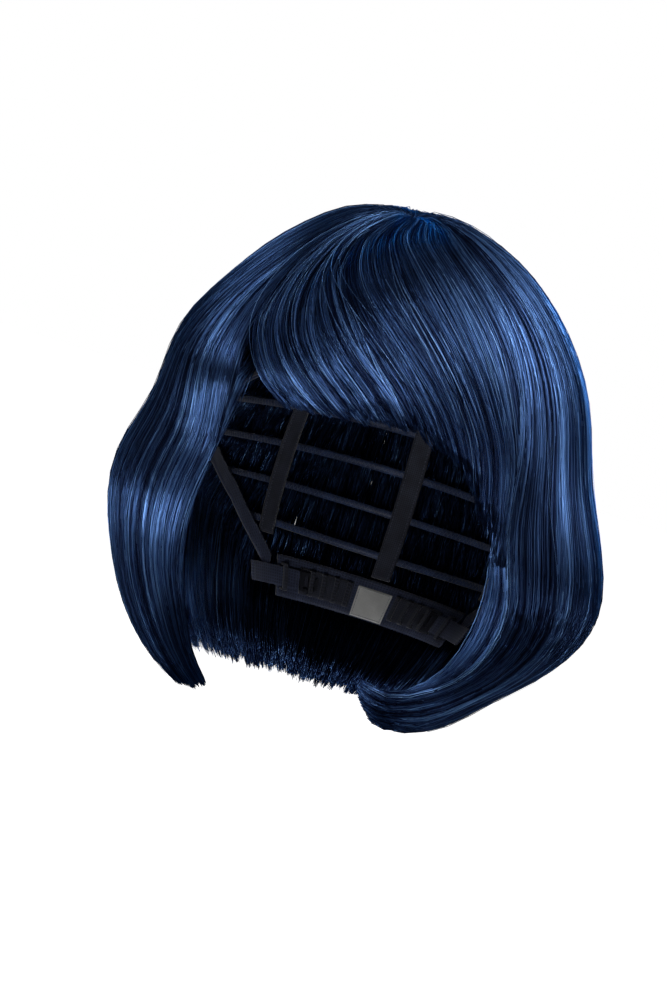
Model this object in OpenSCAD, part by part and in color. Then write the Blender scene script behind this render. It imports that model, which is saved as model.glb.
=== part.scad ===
// Costume wig: a chin-length bob with a swept fringe on a wefted cap.
// The origin is the middle of the head that wears it, level with the ears.
// +Z points to the crown, -Y to the face and +X to the wearer's left.
// Most pieces are patches of shells round the point mid. A place on them is an azimuth
// (0 at the face, 90 at the wearer's left ear, 180 at the nape) and a polar angle
// (0 at the crown, 90 at ear level), with a radius that the head or the hair sets.

/* [Head] */
// Half the width of the head that the cap fits
head_half_width = 75; // [70:1:80]
// Half the length of the head, forehead to back
head_half_length = 94; // [88:1:100]
// Height of the crown above mid
head_crown = 115; // [108:1:120]
// How fast the head narrows towards the nape
head_drop = 100; // [92:1:110]

/* [Hair] */
// Half the width of the bob at its widest
hair_half_width = 102; // [98:1:108]
// Reach of the fringe in front of mid
hair_front = 110; // [107:1:114]
// Reach of the back of the bob behind mid
hair_back = 121; // [116:1:128]
// Height of the hair above mid at the crown
hair_crown = 123; // [121:1:128]
// Depth of the bob below mid
hair_drop = 98; // [92:1:104]
// Swing of the bob towards the wearer's right, in degrees
hair_lean = 5; // [0:1:8]
// How much shorter the bob is on the wearer's left than in the middle
hair_tilt = 5; // [0:1:6]
// Gap between the head and the inside of the hair
hair_gap = 4.6; // [4.4:0.1:6]

/* [Cap] */
// Thickness of the net and lace panels
net_t = 0.8; // [0.6:0.1:1]
// Thickness of ribs, ribbons and elastics
tape_t = 1.0; // [0.8:0.1:1.2]
// Width of the back ribs
rib_w = 7; // [5:1:9]
// Width of the elastic behind each ear
elastic_w = 9; // [7:1:11]
// Height of a sewn weft
weft_w = 3; // [2:0.5:4]
// Thickness of a sewn weft
weft_t = 1.8; // [1.4:0.1:2]

/* [Nape] */
// Radius of the nape band's inner face
nape_r = 54.3; // [52:0.1:57]
// Height of the nape band
nape_h = 17; // [15:1:20]
// Width of the adjuster strap
strap_w = 8; // [6:1:9]
// Number of loops that each adjuster hook can reach
loops = 4; // [3:1:5]
// Angle between loops, seen from the middle of the nape's curve
loop_step = 6; // [5:0.5:6]

/* [Hidden] */

mid = [0, 4, 10];          // centre of the shells
seam = 0.2;                // degrees left free on each side of a seam
left = 1;                  // side of the wearer: 1 is left, -1 is right
right = -1;
cap_top = 46;              // polar angle where the crown net ends
hair_split = 46;           // polar angle where the crown hair ends
patch_edge = 8;            // polar angle where the crown patch ends
whorl = 2;                 // polar angle where the crown hair starts
panel_edge = 52;           // azimuth between the front and side panels
panel_back = 99;           // azimuth where a side panel ends
tab_front = 65;            // azimuths and polar angles of an ear tab
tab_back = 87;
tab_top = 84.8;
tab_low = 101;
weft_low = net_t + 0.6;    // height of the wefts above the head
crown_rows = [13, 21, 29, 37];
fringe_rows = [49, 53.5];
side_rows = [50, 62, 74];
back_rows = [50, 61, 72, 83, 94, 105];
fringe_right = -30;        // azimuths where the fringe starts and ends
fringe_left = 44;
back_split = 100;          // azimuth where a side curtain meets the back hair
panel_split = 140;         // azimuth where the back's middle panel starts
nape_mid = [0, 35, -34];   // middle of the nape's curve
nape_slant = 0.45;         // how much the nape's radius grows with height
nape_sweep = 47;           // half the angle of the nape band
hook_start = 27;           // angle of each hook's tip at rest, in the outermost loop
hook_sweep = 9;            // angle that a hook takes up
strap_end = 66;            // angle where each strap is sewn to its elastic

// The cap's rim, as polar angle by azimuth
rim_curve = [[0, 60], [30, 62], [52, 72], [66, 83.6], [86, 83.6], [95, 86],
             [110, 92], [125, 101], [140, 113], [149, 121], [180, 124]];
// The fringe's lower edge, as polar angle by azimuth
fringe_edge = [[-30, 60], [-18, 72], [-4, 72], [11, 69], [27, 76], [40, 86], [44, 91]];
// Front edge of each side curtain, as azimuth by polar angle
left_edge = [[46, 44], [91, 44], [100, 51], [112, 55], [123, 54], [129, 48], [136, 30], [146, 26]];
right_edge = [[46, 30], [72, 30], [81, 31], [92, 35], [112, 37], [125, 38], [140, 43], [153, 50]];
// Lower edge of each side curtain, as polar angle by azimuth
left_tips = [[26, 137], [40, 143], [60, 146], [86, 143], [100, 141]];
right_tips = [[40, 151], [60, 153], [80, 147], [100, 141]];
// Lower edge of the back hair
back_tip = 141;
// Depth of the hair, by polar angle
hair_depth = [[90, 24], [112, 19], [135, 13], [152, 9]];

/* ---- places ---- */
function ease(x, from, to) = let (t = max(0, min(1, (x - from) / (to - from)))) t * t * (3 - 2 * t);
function wrapped(az) = let (a = (az + 540) % 360) a - 180;
function heading(az, pol) = [sin(pol) * sin(az), -sin(pol) * cos(az), cos(pol)];
function at(az, pol, r) = mid + r * heading(az, pol);
function reach(az, half_w, half_l) = 1 / sqrt(pow(sin(az) / half_w, 2) + pow(cos(az) / half_l, 2));
function oval(pol, wide, up, down, soft) =
  let (tall = cos(pol) > 0 ? up : down, n = cos(pol) > 0 ? 2 : soft)
  pow(pow(sin(pol) / wide, n) + pow(abs(cos(pol)) / tall, n), -1 / n);
function rim(az) = lookup(abs(wrapped(az)), rim_curve);

// Radius of the head, and of the outside of the hair
function head_r(az, pol) = oval(pol, reach(az, head_half_width, head_half_length), head_crown, head_drop, 2);
function face_tuck(az, pol) = 15 * (1 - ease(abs(az), 30, 66)) * ease(pol, 64, 88);
function bell(x, middle, spread) = exp(-pow((x - middle) / spread, 2));
function left_dip(pol) = 5.5 * bell(pol, 42, 26) + 8 * bell(pol, 68, 18) - 4.5 * bell(pol, 100, 13)
  + 2.5 * bell(pol, 130, 11);
function right_dip(pol) = 1.6 * bell(pol, 38, 7) - 2 * bell(pol, 19, 8) + 1.6 * bell(pol, 52, 8)
  + 6.2 * bell(pol, 77, 10.5) - 2.5 * bell(pol, 100, 12);
function side_dip(az, pol) = pow(sin(az), 2) * (az > 0 ? left_dip(pol) : right_dip(pol));
function curl_out(az, pol) = 10 * bell(az, 32, 16) * bell(pol, 138, 14);
function hair_r(azimuth, pol) =
  let (az = wrapped(azimuth), half_l = abs(az) < 90 ? hair_front : hair_back,
       drop = hair_drop - hair_tilt * sin(az))
  oval(pol + hair_lean * sin(az), reach(az, hair_half_width, half_l), hair_crown, drop, 2.25)
  - face_tuck(az, pol) - side_dip(az, pol) + curl_out(az, pol);
function hair_in(az, pol) =
  max(head_r(az, pol) + hair_gap, hair_r(az, pol) - lookup(pol, hair_depth));

/* ---- building blocks ---- */
// A closed patch between two radii. place(u, v) gives its azimuth and polar angle.
module shell(place, r_in, r_out, nu, nv, ring = false) {
  cols = ring ? nu : nu + 1;
  spots = [for (j = [0:nv], i = [0:cols - 1]) place(i / nu, j / nv)];
  outer = [for (s = spots) at(s[0], s[1], r_out(s[0], s[1]))];
  inner = [for (s = spots) at(s[0], s[1], r_in(s[0], s[1]))];
  n = len(spots);
  function o(i, j) = j * cols + i % cols;
  function quad(a, b, c, d) = [[a, b, c], [a, c, d]];
  faces = [
    for (j = [0:nv - 1], i = [0:nu - 1]) each quad(o(i, j), o(i + 1, j), o(i + 1, j + 1), o(i, j + 1)),
    for (j = [0:nv - 1], i = [0:nu - 1]) each
      quad(n + o(i, j), n + o(i, j + 1), n + o(i + 1, j + 1), n + o(i + 1, j)),
    for (i = [0:nu - 1]) each quad(o(i + 1, 0), o(i, 0), n + o(i, 0), n + o(i + 1, 0)),
    for (i = [0:nu - 1]) each quad(o(i, nv), o(i + 1, nv), n + o(i + 1, nv), n + o(i, nv)),
    if (!ring) for (j = [0:nv - 1]) each quad(o(0, j), o(0, j + 1), n + o(0, j + 1), n + o(0, j)),
    if (!ring) for (j = [0:nv - 1]) each quad(o(nu, j + 1), o(nu, j), n + o(nu, j), n + o(nu, j + 1))
  ];
  polyhedron(points = concat(outer, inner), faces = faces);
}

// A patch of cloth that lies low above the head, t thick
module cloth(place, low, t, nu, nv, ring = false) {
  shell(place, function(a, p) head_r(a, p) + low, function(a, p) head_r(a, p) + low + t, nu, nv, ring);
}

// An azimuth on one side of the wearer, where from and to are those on the left
function span(side, from, to, u) = side > 0 ? from + (to - from) * u : -to + (to - from) * u;

module weft(from, to, pol, nu) {
  half = weft_w / 2 / head_half_length * 57.3;
  cloth(function(u, v) [from + (to - from) * u, pol - half + 2 * half * v],
        weft_low, weft_t, nu, 1);
}

module hair(place, nu, nv) {
  shell(place, function(a, p) hair_in(a, p), function(a, p) hair_r(a, p), nu, nv);
}

// A band round the nape. rs and zs are the profile's radii from the band's inner face and its heights.
module nape_arc(from, to, profile) {
  slanted = [for (p = profile) [nape_r + p[0] + nape_slant * p[1], p[1]]];
  translate(nape_mid)
    rotate([0, 0, 90 - to])
      rotate_extrude(angle = to - from, $fn = 96) polygon(slanted);
}

function slab(r0, r1, z0, z1) = [[r0, z0], [r1, z0], [r1, z1], [r0, z1]];

// Nape angles run from 0 at the middle to positive on the wearer's left
module nape_side(side, from, to, profile) {
  if (side > 0) nape_arc(from, to, profile);
  else nape_arc(-to, -from, profile);
}

/* ---- cap ---- */
module crown_patch() {
  color("#1b2440")
    shell(function(u, v) [360 * u, patch_edge * (1 - v) + 0.6 * v],
          function(a, p) head_r(a, p) + weft_low,
          function(a, p) head_r(a, p) + weft_low + tape_t, 24, 2, true);
}

module crown_net() {
  color("#10131f")
    cloth(function(u, v) [360 * u, 6 + (cap_top - 6) * v], 0, net_t, 32, 6, true);
}

module front_panel() {
  color("#10131f")
    cloth(function(u, v) let (a = -panel_edge + 2 * panel_edge * u)
            [a, cap_top + seam + (rim(a) - cap_top - seam) * v], 0, net_t, 14, 2);
}

module forehead_ribbon() {
  ribbon = 7;
  color("#161a2c")
    cloth(function(u, v) let (a = (panel_edge - 3) * (2 * u - 1)) [a, rim(a) - ribbon + ribbon * v],
          -tape_t - 0.5, tape_t, 16, 1);
}

module side_panel(side) {
  color("#10131f")
    cloth(function(u, v) let (a = span(side, panel_edge + 2 * seam, panel_back, u))
            [a, cap_top + seam + (rim(a) - cap_top - 2 * seam) * v], 0, net_t, 8, 3);
}

module rib(az) {
  half = rib_w / 2 / head_half_width * 57.3;
  color("#0d0f18")
    cloth(function(u, v) [az - half + 2 * half * u, cap_top + seam + (rib_end(az) - cap_top - seam) * v],
          0, tape_t, 1, 8);
}

// A rib stops just above the elastic or the nape band
function rib_end(az) = rim(az) - (abs(wrapped(az)) > 150 ? 13 : 7);

module rim_elastic(side) {
  wide = elastic_w / head_half_length * 57.3;
  color("#161a2c")
    cloth(function(u, v) let (a = span(side, tab_back + 1, 146, u)) [a, rim(a) + 1.5 - wide + wide * v],
          -tape_t - 0.3, tape_t, 14, 1);
}

/* ---- ear tabs ---- */
module ear_tab(side) {
  color("#161a2c")
    cloth(function(u, v) let (bow = 7 * pow(2 * u - 1, 2))
            [span(side, tab_front + 3 * v, tab_back - 5 * v, u),
             tab_top + (tab_low - bow - tab_top) * v], 0, 1.2, 8, 3);
}

module ear_stay(side) {
  color("#8d929c")
    cloth(function(u, v) [span(side, 74, 77, u), tab_top + 2 + 13 * v], 1.4, 0.9, 1, 4);
}

/* ---- nape and adjusters ---- */
module nape_band() {
  color("#161a2c") nape_arc(-nape_sweep, nape_sweep, slab(0, tape_t, -nape_h / 2, nape_h / 2));
}

module loop_tape(side) {
  low = strap_w / 2 + 0.5;
  high = low + 0.9;
  arch = [[-0.9, -high], [-3.7, -high], [-3.7, high], [-0.9, high],
          [-0.9, low], [-3, low], [-3, -low], [-0.9, -low]];
  color("#0d0f18") {
    nape_side(side, 10, 11 + loops * loop_step, slab(-0.95, -0.05, -high, high));
    for (i = [0:loops - 1])
      nape_side(side, 11 + i * loop_step, 13 + i * loop_step, arch);
  }
}

module strap_keeper(side) {
  low = strap_w / 2 + 0.5;
  high = low + 1.2;
  ring = [[-0.05, -high], [-0.05, -low], [-3, -low], [-3, low], [-0.05, low], [-0.05, high],
          [-4, high], [-4, -high]];
  color("#0d0f18") nape_side(side, 43.5, 46, ring);
}

module adjuster_strap(side) {
  color("#20263c")
    nape_side(side, hook_start + hook_sweep, strap_end, slab(-2.5, -1.5, -strap_w / 2, strap_w / 2));
}

// A flat slide with a window for the strap and a tongue that goes through the loops
module adjuster_hook(side) {
  half = strap_w / 2;
  back = hook_start + hook_sweep;
  color("#15171d") {
    nape_side(side, back - 2, back, slab(-2.7, -1.3, -half, half));
    nape_side(side, back - 6, back - 4.5, slab(-2.7, -1.3, -half, half));
    nape_side(side, back - 6, back, slab(-2.7, -1.3, half - 1.3, half));
    nape_side(side, back - 6, back, slab(-2.7, -1.3, -half, 1.3 - half));
    nape_side(side, hook_start, back - 4.5, slab(-2.5, -1.5, -1.6, 1.6));
    nape_side(side, hook_start, hook_start + 1, slab(-2.7, -1.3, -2.4, 2.4));
  }
}

module care_label() {
  color("#d9d9d6") nape_arc(-8, 8, slab(-0.6, -0.1, -8, 5));
}

/* ---- wefts ---- */
module weft_crown(row) {
  half = weft_w / 2 / head_crown * 57.3;
  color("#121a33")
    cloth(function(u, v) [360 * u, crown_rows[row] - half + 2 * half * v],
          weft_low, weft_t, 32, 1, true);
}

module weft_fringe(row) {
  color("#121a33") weft(-46, 46, fringe_rows[row], 14);
}

module weft_side(side, row) {
  from = 54;
  to = 98;
  color("#121a33") weft(side > 0 ? from : -to, side > 0 ? to : -from, side_rows[row], 8);
}

module weft_back(row) {
  narrowing = [0, 0, 0, 4, 19, 30];
  from = 102 + narrowing[row];
  color("#121a33") weft(from, 360 - from, back_rows[row], 18);
}

/* ---- hair ---- */
module hair_crown_part(from, to) {
  color("#1c3566")
    hair(function(u, v) [from + (to - from) * u + seam * (1 - 2 * u),
                         whorl + (hair_split - seam - whorl) * v], 10, 5);
}

module hair_fringe() {
  color("#224079")
    hair(function(u, v)
           let (a = fringe_right + (fringe_left - fringe_right) * u + 2 * seam * (1 - 2 * u))
           [a, hair_split + 2 * seam + (lookup(a, fringe_edge) - hair_split - 2 * seam) * v], 10, 4);
}

// edge gives the curtain's front azimuth by polar angle, and tips its lower polar angle by azimuth
module hair_side(side, edge, tips) {
  top = hair_split + 2 * seam;
  low = max([for (t = tips) t[1]]);
  back = back_split - 2 * seam;
  function front(v) = lookup(top + (low - top) * v, edge) + 2 * seam;
  color("#1f3b70")
    hair(function(u, v) let (a = span(side, front(v), back, u)) [a, top + (lookup(abs(a), tips) - top) * v], 8, 14);
}

module hair_back_part(from, to) {
  color("#1a3160")
    hair(function(u, v) [from + (to - from) * u,
                         hair_split + 2 * seam + (back_tip - hair_split - 2 * seam) * v],
         ceil((to - from) / 7), 10);
}

crown_patch();
crown_net();
front_panel();
forehead_ribbon();
side_panel(left);  // side_panel_left
side_panel(right);  // side_panel_right
rib(105);  // rib_ear_left
rib(143);  // rib_back_left
rib(180);  // rib_centre
rib(217);  // rib_back_right
rib(255);  // rib_ear_right
rim_elastic(left);  // rim_elastic_left
rim_elastic(right);  // rim_elastic_right
nape_band();
loop_tape(left);  // loop_tape_left
loop_tape(right);  // loop_tape_right
strap_keeper(left);  // strap_keeper_left
strap_keeper(right);  // strap_keeper_right
adjuster_strap(left);  // adjuster_strap_left
adjuster_strap(right);  // adjuster_strap_right
adjuster_hook(left);  // adjuster_hook_left
adjuster_hook(right);  // adjuster_hook_right
care_label();
ear_tab(left);  // ear_tab_left
ear_tab(right);  // ear_tab_right
ear_stay(left);  // ear_stay_left
ear_stay(right);  // ear_stay_right
weft_crown(0);  // weft_crown_1
weft_crown(1);  // weft_crown_2
weft_crown(2);  // weft_crown_3
weft_crown(3);  // weft_crown_4
weft_fringe(0);  // weft_fringe_1
weft_fringe(1);  // weft_fringe_2
weft_side(left, 0);  // weft_side_left_1
weft_side(left, 1);  // weft_side_left_2
weft_side(left, 2);  // weft_side_left_3
weft_side(right, 0);  // weft_side_right_1
weft_side(right, 1);  // weft_side_right_2
weft_side(right, 2);  // weft_side_right_3
weft_back(0);  // weft_back_1
weft_back(1);  // weft_back_2
weft_back(2);  // weft_back_3
weft_back(3);  // weft_back_4
weft_back(4);  // weft_back_5
weft_back(5);  // weft_back_6
hair_crown_part(-50, 50);  // hair_crown_front
hair_crown_part(50, 130);  // hair_crown_left
hair_crown_part(130, 230);  // hair_crown_back
hair_crown_part(230, 310);  // hair_crown_right
hair_fringe();
hair_side(left, left_edge, left_tips);  // hair_side_left
hair_side(right, right_edge, right_tips);  // hair_side_right
hair_back_part(back_split, panel_split - 2 * seam);  // hair_back_left
hair_back_part(panel_split, 360 - panel_split);  // hair_back_centre
hair_back_part(360 - panel_split + 2 * seam, 360 - back_split);  // hair_back_right
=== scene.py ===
"""Looks of a costume wig: glossy dark blue hair strands on a wefted cap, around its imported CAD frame."""
import math

import bmesh
import bpy
import numpy as np
from mathutils import Matrix, Vector


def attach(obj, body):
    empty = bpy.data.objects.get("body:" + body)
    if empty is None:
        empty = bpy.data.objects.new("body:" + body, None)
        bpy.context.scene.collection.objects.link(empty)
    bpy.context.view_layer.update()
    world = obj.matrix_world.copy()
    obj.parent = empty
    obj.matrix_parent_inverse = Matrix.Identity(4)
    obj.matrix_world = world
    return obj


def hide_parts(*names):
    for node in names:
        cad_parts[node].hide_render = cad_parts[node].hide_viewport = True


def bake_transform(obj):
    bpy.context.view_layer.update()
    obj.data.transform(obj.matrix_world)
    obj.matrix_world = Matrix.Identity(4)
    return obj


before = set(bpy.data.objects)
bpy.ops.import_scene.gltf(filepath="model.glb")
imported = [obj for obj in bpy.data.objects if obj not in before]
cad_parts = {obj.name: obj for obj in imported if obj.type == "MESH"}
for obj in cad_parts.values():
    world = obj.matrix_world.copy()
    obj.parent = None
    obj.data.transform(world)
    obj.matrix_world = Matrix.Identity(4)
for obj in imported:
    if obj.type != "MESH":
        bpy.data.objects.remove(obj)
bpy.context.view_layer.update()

MM = 0.001
DEG = math.pi / 180
RNG = np.random.default_rng(11)

# ---------------------------------------------------------------- sizes, in mm and degrees
MID = np.array([0.0, 4.0, 10.0])        # the point that the cap and the hair are shells round
HEAD = dict(wide=75, long=94, up=115, down=100)
HAIR = dict(wide=102, front=110, back=121, up=123, down=98, lean=5, tilt=5, soft=2.25)
HAIR_GAP = 4.6                           # from the head to the inside of the hair
HAIR_DEPTH = [(90, 24), (112, 19), (135, 13), (152, 9)]   # polar angle, depth
# How far the sides dip in: depth, polar angle of the middle, spread.
LEFT_DIPS = [(5.5, 42, 26), (8, 68, 18), (-4.5, 100, 13), (4, 129, 12)]
RIGHT_DIPS = [(1.9, 46, 13), (-2, 19, 8), (5.8, 77, 12), (-2.5, 100, 12)]
RIM = [(0, 60), (30, 62), (52, 72), (66, 83.6), (86, 83.6), (95, 86), (110, 92), (125, 101), (140, 113),
       (149, 121), (180, 124)]           # azimuth, polar angle of the cap's edge

# Each panel's hair flows along guides from the whorl to its tips: rows of (azimuth, polar angle).
WHORL = (-40, 9)
GUIDES = {
    "fringe": [
        [(-40, 20), (-38, 34), (-36, 45), (-33, 55), (-28, 62), (-21, 68), (-13, 72)],
        [(-34, 20), (-30, 33), (-26, 46), (-20, 56), (-12, 63), (-4, 68), (2, 71)],
        [(-30, 18), (-27, 30), (-20, 41), (-10, 50), (-1, 57), (8, 63), (15, 69)],
        [(-24, 16), (-18, 28), (-8, 38), (4, 46), (16, 54), (26, 63), (34, 74)],
        [(-14, 13), (-4, 24), (10, 33), (22, 43), (32, 54), (40, 67), (45, 80), (47, 92)],
        [(5, 12), (20, 22), (33, 32), (42, 43), (47, 56), (50, 70), (51, 84), (51, 96)],
    ],
    "side_left": [
        [(5, 12), (20, 22), (33, 32), (41, 43), (45, 56), (46, 68), (47, 80), (49, 91), (52, 101),
         (54, 113), (53, 124), (46, 131), (36, 133), (25, 130)],
        [(20, 14), (38, 24), (50, 34), (56, 46), (58, 60), (58, 76), (60, 92), (63, 106), (63, 118),
         (60, 129), (53, 137), (41, 140), (26, 134)],
        [(40, 13), (58, 24), (68, 36), (72, 48), (73, 64), (73, 80), (74, 96), (75, 108), (74, 121),
         (70, 133), (62, 141), (49, 145), (31, 139)],
        [(65, 13), (78, 24), (84, 36), (86, 50), (87, 68), (87, 86), (88, 102), (87, 116), (84, 130),
         (76, 141), (65, 146), (52, 148), (40, 145)],
        [(92, 15), (99, 26), (102, 38), (102, 55), (102, 75), (102, 95), (102, 112), (101, 127),
         (98, 137), (94, 142), (89, 144)],
    ],
    "side_right": [
        [(-37, 22), (-36, 38), (-33, 56), (-30, 69), (-32, 80), (-35, 96), (-38, 115), (-39, 128),
         (-44, 142), (-50, 153)],
        [(-42, 20), (-42, 38), (-45, 52), (-45, 66), (-45, 80), (-47, 98), (-49, 115), (-50, 130),
         (-53, 143), (-57, 153)],
        [(-55, 19), (-54, 36), (-58, 54), (-62, 68), (-62, 82), (-63, 98), (-64, 115), (-65, 130),
         (-66, 142), (-66, 151)],
        [(-75, 19), (-74, 36), (-78, 54), (-80, 70), (-80, 90), (-80, 110), (-80, 128), (-79, 140),
         (-78, 147)],
        [(-104, 19), (-103, 38), (-102, 58), (-102, 78), (-102, 98), (-102, 116), (-102, 132),
         (-101, 141)],
    ],
}


def back_guides(*azimuths):
    """Guides that go straight down the back of the head."""
    return [[(az, 16), (az, 32), (az, 50), (az, 72), (az, 96), (az, 120), (az, 141)] for az in azimuths]


GUIDES["back_left"] = back_guides(98, 112, 127, 142)
GUIDES["back_left"][0][:2] = [(88, 13), (95, 28)]
GUIDES["back_centre"] = back_guides(138, 159, 180, 201, 222)
GUIDES["back_right"] = back_guides(218, 233, 247, 262)
# The azimuth of each panel's middle, and its share of the strands.
CENTRE = {"fringe": 0, "side_left": 72, "side_right": -65,
          "back_left": 120, "back_centre": 180, "back_right": 240}
SHARE = {"fringe": 1.35, "side_left": 1.35, "side_right": 1.25,
         "back_left": 0.85, "back_centre": 1.35, "back_right": 0.85}


# ---------------------------------------------------------------- places on the shells
def ease(x, low, high):
    t = np.clip((x - low) / (high - low), 0, 1)
    return t * t * (3 - 2 * t)


def sin(a):
    return np.sin(a * DEG)


def cos(a):
    return np.cos(a * DEG)


def bell(x, middle, spread):
    return np.exp(-((x - middle) / spread) ** 2)


def wrapped(az):
    return (az + 540) % 360 - 180


def reach(az, wide, long):
    return 1 / np.sqrt((sin(az) / wide) ** 2 + (cos(az) / long) ** 2)


def oval(pol, wide, up, down, soft):
    top = cos(pol) > 0
    tall = np.where(top, up, down)
    n = np.where(top, 2.0, soft)
    return ((np.abs(sin(pol)) / wide) ** n + (np.abs(cos(pol)) / tall) ** n) ** (-1 / n)


def dips(pol, places):
    return sum(depth * bell(pol, middle, spread) for depth, middle, spread in places)


def head_r(az, pol):
    """Radius of the head that the cap fits."""
    return oval(pol, reach(az, HEAD["wide"], HEAD["long"]), HEAD["up"], HEAD["down"], 2.0)


def hair_r(azimuth, pol):
    """Radius of the outside of the hair."""
    az = wrapped(azimuth)
    side = sin(az)
    long = np.where(np.abs(az) < 90, HAIR["front"], HAIR["back"])
    r = oval(pol + HAIR["lean"] * side, reach(az, HAIR["wide"], long), HAIR["up"],
             HAIR["down"] - HAIR["tilt"] * side, HAIR["soft"])
    r = r - 15 * (1 - ease(np.abs(az), 30, 66)) * ease(pol, 64, 88)
    dip = np.where(az > 0, dips(pol, LEFT_DIPS), dips(pol, RIGHT_DIPS))
    r = r - side ** 2 * dip
    return r + 10 * bell(az, 32, 16) * bell(pol, 138, 14)


def hair_in(az, pol):
    depth = np.interp(pol, [p for p, _ in HAIR_DEPTH], [d for _, d in HAIR_DEPTH])
    return np.maximum(head_r(az, pol) + HAIR_GAP, hair_r(az, pol) - depth)


def rim(az):
    return np.interp(np.abs(wrapped(az)), [a for a, _ in RIM], [p for _, p in RIM])


def at(az, pol, r):
    """A point, in mm, at that azimuth, polar angle and radius."""
    return MID + np.stack([r * sin(pol) * sin(az), -r * sin(pol) * cos(az), r * cos(pol)], -1)


# ---------------------------------------------------------------- materials
def node_material(name, roughness, metallic=0.0, sheen=0.0):
    """A Principled material with its constant values set on its own sockets."""
    m = bpy.data.materials.new(name)
    m.use_nodes = True
    shader = m.node_tree.nodes["Principled BSDF"]
    shader.inputs["Roughness"].default_value = roughness
    shader.inputs["Metallic"].default_value = metallic
    shader.inputs["Sheen Weight"].default_value = sheen
    return m, m.node_tree, shader


def ramp(tree, stops):
    r = tree.nodes.new("ShaderNodeValToRGB")
    while len(r.color_ramp.elements) < len(stops):
        r.color_ramp.elements.new(0.5)
    for e, (pos, colour) in zip(r.color_ramp.elements, stops):
        e.position = pos
        e.color = (*colour, 1)
    return r


def hair_material(name, tones, roughness, metallic, tint):
    """Fibre colour varies from strand to strand, and is darkened towards the root as painted shade where
    the roots lie under the other hair.
    """
    m, tree, shader = node_material(name, roughness, metallic)
    shader.inputs["Specular Tint"].default_value = (*tint, 1)
    tone = tree.nodes.new("ShaderNodeAttribute")
    tone.attribute_name = "tone"
    along = tree.nodes.new("ShaderNodeAttribute")
    along.attribute_name = "along"
    colours = ramp(tree, tones)
    tree.links.new(tone.outputs["Fac"], colours.inputs["Fac"])
    shade = ramp(tree, ROOT_SHADE_TO_TIP)
    tree.links.new(along.outputs["Fac"], shade.inputs["Fac"])
    mix = tree.nodes.new("ShaderNodeMix")
    mix.data_type = "RGBA"
    mix.blend_type = "MULTIPLY"
    mix.inputs["Factor"].default_value = 1.0
    tree.links.new(colours.outputs["Color"], mix.inputs["A"])
    tree.links.new(shade.outputs["Color"], mix.inputs["B"])
    tree.links.new(mix.outputs["Result"], shader.inputs["Base Color"])
    return m


# Painted shade along each strand: colour halved at the root, eased up to full by mid-length, a little
# darker at the tip.
ROOT_SHADE_TO_TIP = [
    (0.00, (0.50, 0.50, 0.50)),
    (0.12, (0.85, 0.85, 0.85)),
    (0.50, (1.00, 1.00, 1.00)),
    (1.00, (0.90, 0.90, 0.95)),
]
HAIR_TONES = [
    (0.00, (0.007, 0.012, 0.034)),
    (0.35, (0.024, 0.048, 0.122)),
    (0.65, (0.050, 0.106, 0.256)),
    (0.90, (0.090, 0.184, 0.400)),
    (1.00, (0.150, 0.285, 0.560)),
]
hair_look = hair_material("glossy_blue_hair", HAIR_TONES, roughness=0.36, metallic=1.0,
                          tint=(0.32, 0.52, 1.0))


# ---------------------------------------------------------------- meshes
def new_piece(name, co, loops, counts, material, smooth=True):
    """A mesh object from coordinates in mm, a flat list of corner indices and the corners per face."""
    mesh = bpy.data.meshes.new(name)
    mesh.vertices.add(len(co))
    mesh.vertices.foreach_set("co", (np.asarray(co) * MM).astype(np.float32).ravel())
    mesh.loops.add(len(loops))
    mesh.loops.foreach_set("vertex_index", np.asarray(loops, np.int32))
    mesh.polygons.add(len(counts))
    starts = np.concatenate([[0], np.cumsum(counts)[:-1]])
    mesh.polygons.foreach_set("loop_start", starts.astype(np.int32))
    mesh.polygons.foreach_set("use_smooth", np.full(len(counts), smooth))
    mesh.materials.append(material)
    mesh.update(calc_edges=True)
    mesh.validate()
    piece = bpy.data.objects.new(name, mesh)
    bpy.context.scene.collection.objects.link(piece)
    return piece


def tube_shell(paths, radius, sides=3, flat=0.7):
    """The points of many thin tubes, (n, k, sides, 3), and their quads and end caps as corner indices."""
    n, k, _ = paths.shape
    t = np.gradient(paths, axis=1)
    t /= np.linalg.norm(t, axis=2, keepdims=True) + 1e-9
    out = paths - MID
    out -= (out * t).sum(2, keepdims=True) * t
    out /= np.linalg.norm(out, axis=2, keepdims=True) + 1e-9
    side = np.cross(t, out)
    turn = 2 * np.pi * (np.arange(sides) / sides) + np.pi / 2
    ring = np.cos(turn)[:, None] * side[:, :, None, :] + flat * np.sin(turn)[:, None] * out[:, :, None, :]
    co = paths[:, :, None, :] + ring * radius[:, :, None, None]
    idx = np.arange(n * k * sides).reshape(n, k, sides)
    low, high = idx[:, :-1], idx[:, 1:]
    quads = np.stack([low, np.roll(low, -1, 2), np.roll(high, -1, 2), high], -1).reshape(n, -1, 4)
    return co, quads, idx[:, 0, ::-1], idx[:, -1]


def tubes(name, paths, radius, material, tone):
    """Many strands as one mesh, each with its own tone. paths is (n, k, 3) in mm and radius is (n, k)."""
    co, quads, first, last = tube_shell(paths, radius)
    n, k, sides, _ = co.shape
    loops = np.concatenate([quads.reshape(n, -1), first, last], 1).ravel()
    counts = np.tile([4] * quads.shape[1] + [sides, sides], n)
    piece = new_piece(name, co.reshape(-1, 3), loops, counts, material)
    mesh = piece.data
    along = np.linspace(0, 1, k)[None, :, None]
    for label, values in (("tone", tone[:, None, None]), ("along", along)):
        spread = np.broadcast_to(values, (n, k, sides)).astype(np.float32)
        mesh.attributes.new(label, "FLOAT", "POINT").data.foreach_set("value", spread.ravel())
    strand_uv(mesh, n, k, sides, quads.shape[1])
    return piece


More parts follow.
